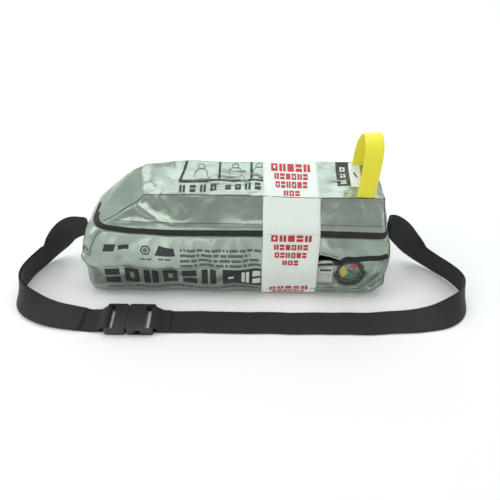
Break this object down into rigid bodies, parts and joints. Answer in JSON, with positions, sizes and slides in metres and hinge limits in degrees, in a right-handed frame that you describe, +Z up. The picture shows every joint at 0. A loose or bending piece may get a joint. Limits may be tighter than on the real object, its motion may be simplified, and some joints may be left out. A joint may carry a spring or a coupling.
{
  "type": "smoke hood",
  "caption": "Emergency escape breathing set: a compressed-air smoke hood packed in a soft carry bag with a shoulder strap, pull loop and gauge window.",
  "frame": {"origin": "centre of the bag's flat base", "axes": "+X along the bag towards the gauge and valve end, +Y towards the hinge side, +Z up"},
  "size_m": [0.6858, 0.2199, 0.236],
  "materials": {
    "coated_fabric": "glossy coated cloth",
    "black_binding": "woven tape",
    "clear_window": "clear flexible sheet",
    "card": "matt",
    "board": "matt",
    "foam": "closed foam",
    "yellow_webbing": "woven",
    "black_webbing": "woven",
    "tamper_band": "satin",
    "hook_and_loop": "pile",
    "cylinder_steel": "painted",
    "brass": "machined",
    "nickel": "plated",
    "black_rubber": "matt",
    "black_plastic": "moulded",
    "red_plastic": "moulded",
    "gauge_face": "printed",
    "gauge_glass": "clear",
    "orange_hood": "coated film"
  },
  "bodies": {
    "bag": {"front_panel": "coated_fabric", "back_panel": "coated_fabric", "base_panel": "coated_fabric", "left_end_panel": "coated_fabric", "right_end_panel": "coated_fabric", "gauge_window": "clear_window", "window_binding": "black_binding", "record_card": "card", "base_board": "board", "left_strap_patch": "coated_fabric", "right_strap_patch": "coated_fabric", "closure_flap": "coated_fabric", "loop_strip": "hook_and_loop", "seal_band_lower": "tamper_band", "seal_band_rear": "tamper_band", "cylinder": "cylinder_steel", "neck_ring": "nickel", "cylinder_strap": "black_webbing", "cylinder_saddles": "foam", "valve_body": "brass", "filling_port_cap": "nickel", "burst_disc_plug": "nickel", "reducer": "nickel", "supply_hose": "black_rubber", "hose_fitting": "nickel", "gauge_case": "nickel", "gauge_guard": "black_rubber", "gauge_dial": "gauge_face", "gauge_lens": "gauge_glass", "hood_fabric": "orange_hood", "hood_visor": "clear_window", "neck_seal": "black_rubber", "exhalation_valve": "black_plastic", "strap_left": "black_webbing", "strap_tail": "black_webbing", "strap_right": "black_webbing", "buckle_female": "black_plastic", "buckle_male": "black_plastic"},
    "lid": {"hook_strip": "hook_and_loop", "lid_top_panel": "coated_fabric", "lid_front_skirt": "coated_fabric", "lid_right_end": "coated_fabric", "lid_binding": "black_binding", "pull_loop": "yellow_webbing", "seal_band_upper": "tamper_band"},
    "handwheel": {"handwheel": "black_plastic"},
    "activation_pin": {"activation_pin": "red_plastic"},
    "gauge_needle": {"gauge_needle": "black_plastic"},
    "prong_front": {"buckle_prong_front": "black_plastic"},
    "prong_rear": {"buckle_prong_rear": "black_plastic"}
  },
  "joints": [
    {"name": "lid_hinge", "type": "hinge", "parent": "bag", "child": "lid", "pos_m": [0, 0.07, 0.112], "axis": [-1, 0, 0], "range_deg": [0, 120]},
    {"name": "handwheel_turn", "type": "hinge", "parent": "bag", "child": "handwheel", "pos_m": [0.19, 0.004, 0.062], "axis": [1, 0, 0], "range_deg": [0, 540]},
    {"name": "activation_pin_pull", "type": "slide", "parent": "bag", "child": "activation_pin", "axis": [0, -1, 0], "range_m": [0, 0.014]},
    {"name": "needle_turn", "type": "hinge", "parent": "bag", "child": "gauge_needle", "pos_m": [0.17, -0.0665, 0.046], "axis": [0, 0.9701, -0.2425], "range_deg": [-255, 15]},
    {"name": "prong_front_squeeze", "type": "hinge", "parent": "bag", "child": "prong_front", "pos_m": [-0.162, -0.139, 0.006], "axis": [0, 0, 1], "range_deg": [0, 10], "stiffness_Nm_per_rad": 0.5},
    {"name": "prong_rear_squeeze", "type": "hinge", "parent": "bag", "child": "prong_rear", "pos_m": [-0.162, -0.109, 0.006], "axis": [0, 0, -1], "range_deg": [0, 10], "stiffness_Nm_per_rad": 0.5}
  ]
}
